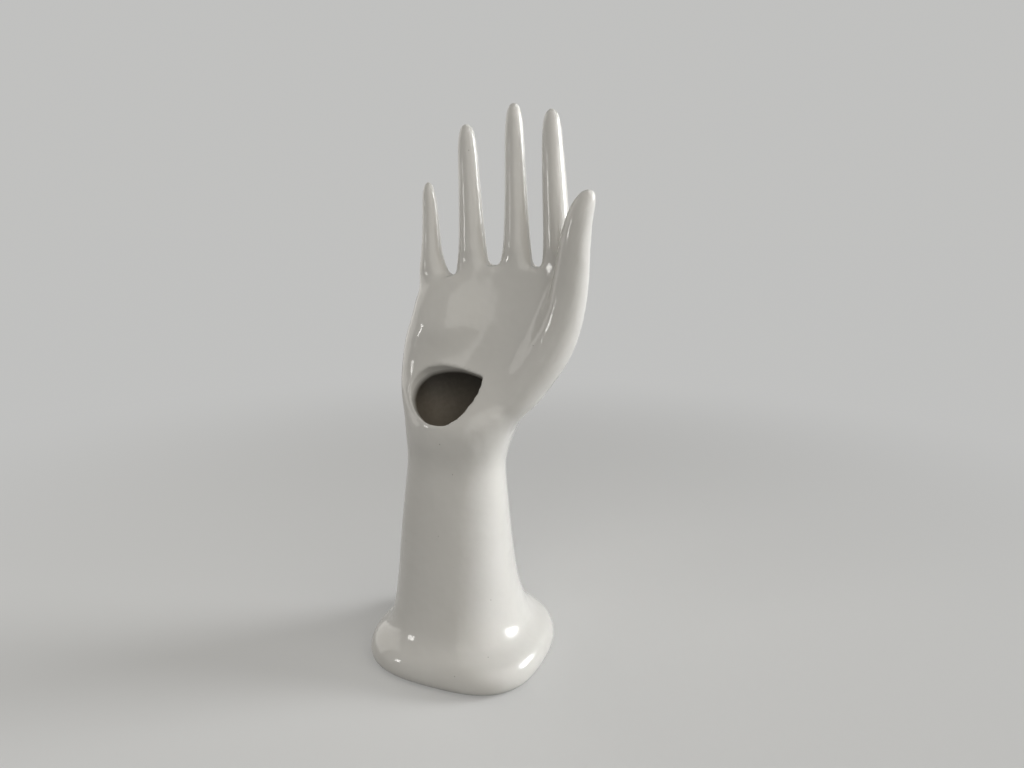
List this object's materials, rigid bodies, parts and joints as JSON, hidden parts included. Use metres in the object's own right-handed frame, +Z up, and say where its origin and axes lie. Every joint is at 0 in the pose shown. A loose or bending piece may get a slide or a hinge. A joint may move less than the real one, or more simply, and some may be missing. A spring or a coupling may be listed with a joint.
{
  "type": "ceramic hand vase",
  "caption": "Glazed ceramic right hand standing upright with open fingers, hollow as a vase, with a mouth cut in the heel of the palm and a flared soft square foot.",
  "frame": {"origin": "on the table, at the middle of the forearm's foot, inside the ring that the ware stands on", "axes": "+Z up along the forearm to the fingertips; the palm and its mouth look to -Y; the thumb is on the +X side"},
  "size_m": [0.1272, 0.105, 0.3112],
  "materials": {
    "glaze": "glossy warm white glaze"
  },
  "bodies": {
    "root": {"base_flange": "glaze", "floor_slab": "glaze", "forearm_shell": "glaze", "palm_shell": "glaze", "thumb": "glaze", "index_finger": "glaze", "middle_finger": "glaze", "ring_finger": "glaze", "little_finger": "glaze"}
  },
  "joints": []
}
